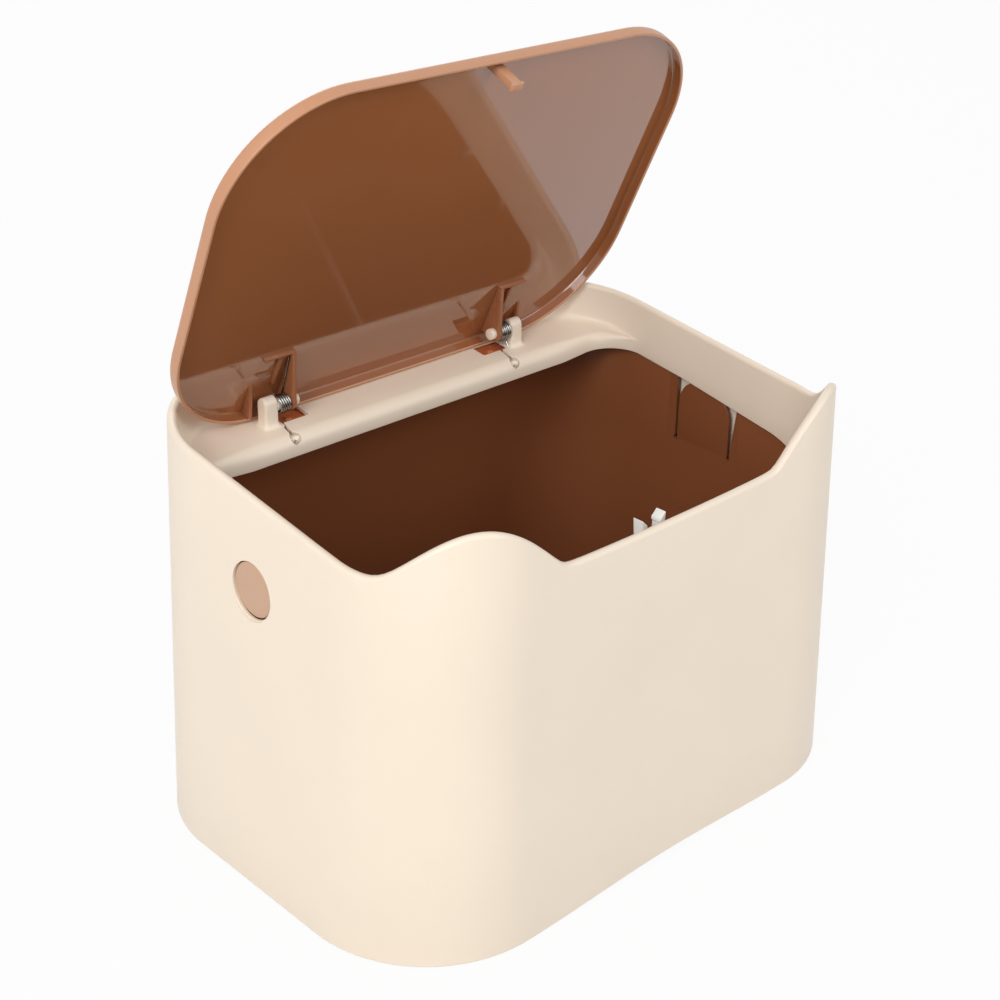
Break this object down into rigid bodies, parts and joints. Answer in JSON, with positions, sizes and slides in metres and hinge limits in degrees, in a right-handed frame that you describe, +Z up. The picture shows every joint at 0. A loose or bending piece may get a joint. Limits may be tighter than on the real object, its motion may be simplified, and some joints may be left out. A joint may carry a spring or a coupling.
{
  "type": "countertop trash can with lid",
  "caption": "Small countertop waste bin: cream outer shell with raised front corners, brown inner bucket, and a sprung lid hinged at the back and held shut by a push latch.",
  "frame": {"origin": "centre of the base, on the surface it stands on", "axes": "+Z up, +Y to the back where the lid is hinged, +X to the right seen from the front"},
  "size_m": [0.2164, 0.1534, 0.2475],
  "materials": {
    "shell_cream": "semi-gloss",
    "bucket_brown": "semi-gloss",
    "tab_tan": "satin",
    "lid_tan": "glossy",
    "spring_steel": "drawn wire",
    "latch_white": "satin"
  },
  "bodies": {
    "root": {"outer_shell": "shell_cream", "inner_bucket": "bucket_brown", "latch_housing": "latch_white", "left_hinge_spring": "spring_steel", "right_hinge_spring": "spring_steel", "latch_spring": "spring_steel", "latch_cam_wire": "spring_steel"},
    "lid": {"lid": "lid_tan"},
    "left_tab": {"left_release_tab": "tab_tan"},
    "right_tab": {"right_release_tab": "tab_tan"},
    "latch_slide_body": {"latch_slider": "latch_white"},
    "left_jaw": {"latch_left_jaw": "latch_white"},
    "right_jaw": {"latch_right_jaw": "latch_white"}
  },
  "joints": [
    {"name": "lid_hinge", "type": "hinge", "parent": "root", "child": "lid", "pos_m": [0, 0.05565, 0.13329], "axis": [-1, 0, 0], "range_deg": [-72.7, 0], "stiffness_Nm_per_rad": 0.05, "springref_deg": 57.3, "deforming": ["left_hinge_spring", "right_hinge_spring"]},
    {"name": "left_tab_hinge", "type": "hinge", "parent": "root", "child": "left_tab", "pos_m": [-0.0979, 0.0015, 0.0914], "axis": [0, 1, 0], "range_deg": [0, 7], "stiffness_Nm_per_rad": 0.4, "springref_deg": -2.86},
    {"name": "right_tab_hinge", "type": "hinge", "parent": "root", "child": "right_tab", "pos_m": [0.0979, 0.0015, 0.0914], "axis": [0, -1, 0], "range_deg": [0, 7], "stiffness_Nm_per_rad": 0.4, "springref_deg": -2.86},
    {"name": "latch_slide", "type": "slide", "parent": "root", "child": "latch_slide_body", "axis": [0, 0, -1], "range_m": [0, 0.004], "stiffness_N_per_m": 400, "springref_m": -0.002, "deforming": ["latch_spring"]},
    {"name": "left_jaw_swing", "type": "hinge", "parent": "latch_slide_body", "child": "left_jaw", "pos_m": [-0.0033, -0.06209, 0.10742], "axis": [0, 1, 0], "range_deg": [0, 5]},
    {"name": "right_jaw_swing", "type": "hinge", "parent": "latch_slide_body", "child": "right_jaw", "pos_m": [0.0033, -0.06209, 0.10742], "axis": [0, -1, 0], "range_deg": [0, 5]}
  ],
  "couplings": [
    {"joint": "left_jaw_swing", "follows": "latch_slide", "rad_per_m": 21.8},
    {"joint": "right_jaw_swing", "follows": "latch_slide", "rad_per_m": 21.8}
  ]
}
